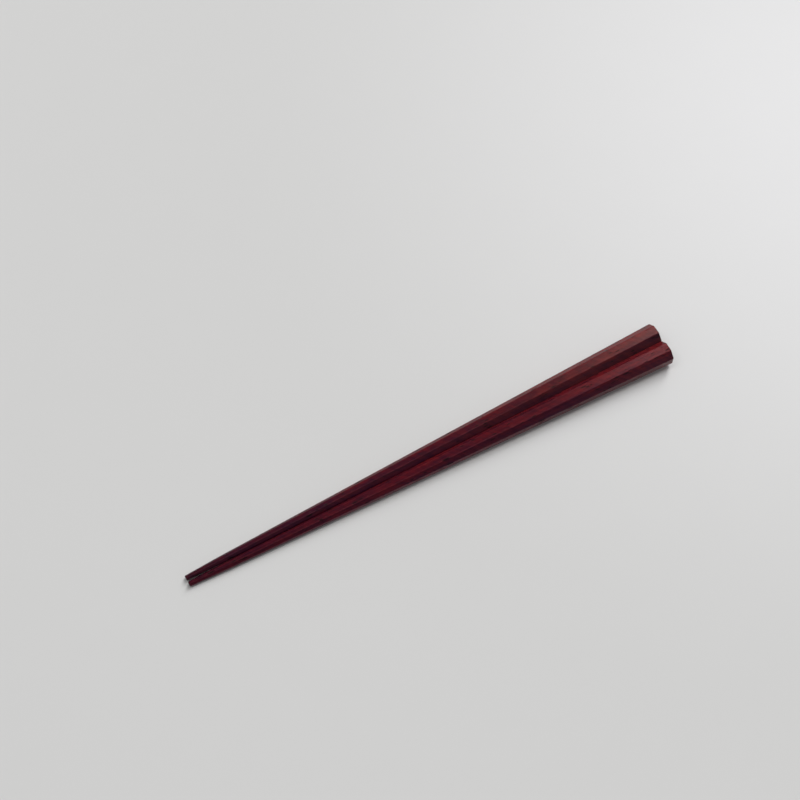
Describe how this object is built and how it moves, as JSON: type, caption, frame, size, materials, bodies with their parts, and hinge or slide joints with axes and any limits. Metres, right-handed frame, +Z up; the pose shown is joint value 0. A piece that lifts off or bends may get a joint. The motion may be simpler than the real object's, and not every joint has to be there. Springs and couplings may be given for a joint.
{
  "type": "octagonal chopsticks",
  "caption": "Long tapered octagonal wooden chopsticks lying side by side, flat against flat, with square-cut ends and a slimmer, steeper tip for picking up food.",
  "frame": {"origin": "on the surface that the pair lies on, under the middle of the pair", "axes": "+X along the pair from the thin tips to the thick ends, +Y towards the left stick as seen from the tips, +Z up from the surface"},
  "size_m": [0.2351, 0.02, 0.01],
  "materials": {
    "red_hardwood": "satin"
  },
  "bodies": {
    "root": {"left_chopstick": "red_hardwood", "right_chopstick": "red_hardwood"}
  },
  "joints": []
}
